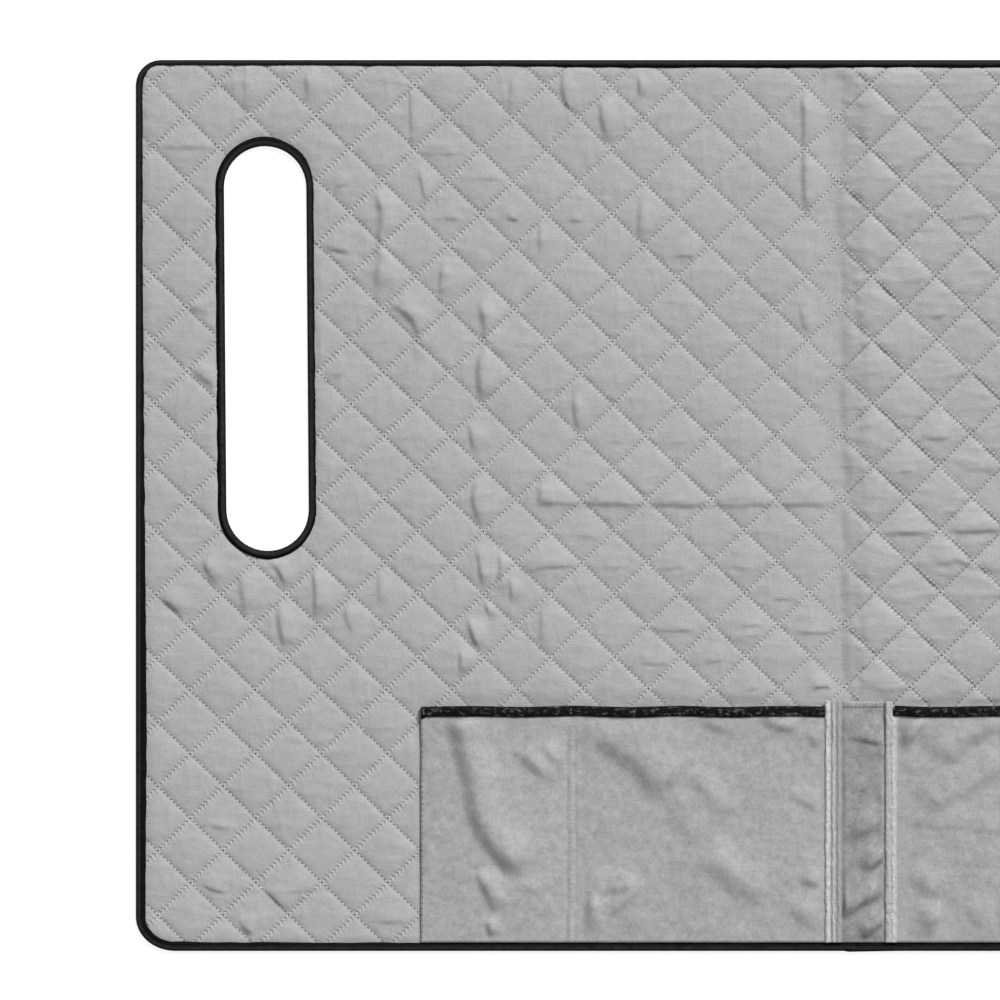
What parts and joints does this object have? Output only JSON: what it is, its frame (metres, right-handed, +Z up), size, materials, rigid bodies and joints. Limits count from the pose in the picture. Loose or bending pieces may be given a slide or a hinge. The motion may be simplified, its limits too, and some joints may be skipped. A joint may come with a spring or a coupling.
{
  "type": "golf cart seat cover",
  "caption": "Quilted bench seat cover laid flat, with bound armrest slots, a bound edge and trimmed front pockets.",
  "frame": {"origin": "centre of the cover's box at the level of its underside", "axes": "+X along the bench, the cover's long way; +Y from the front pockets to the back edge; +Z up out of the cover's face"},
  "size_m": [1.32, 0.8128, 0.0136],
  "materials": {
    "quilted_cloth": "grey woven polyester, quilted in diamonds with pale thread",
    "pocket_cloth": "plain grey woven polyester",
    "grey_tape": "pale grey woven tape",
    "black_binding": "smooth black bias tape, rounded and slightly glossy",
    "black_trim": "black fold-over tape with small puckers"
  },
  "bodies": {
    "root": {"quilted_panel": "quilted_cloth", "edge_binding": "black_binding", "slot_binding_left": "black_binding", "slot_binding_right": "black_binding", "pocket_left": "pocket_cloth", "pocket_right": "pocket_cloth", "pocket_trim_left": "black_trim", "pocket_trim_right": "black_trim", "centre_strip": "pocket_cloth", "strip_tape_left": "grey_tape", "strip_tape_right": "grey_tape"}
  },
  "joints": []
}
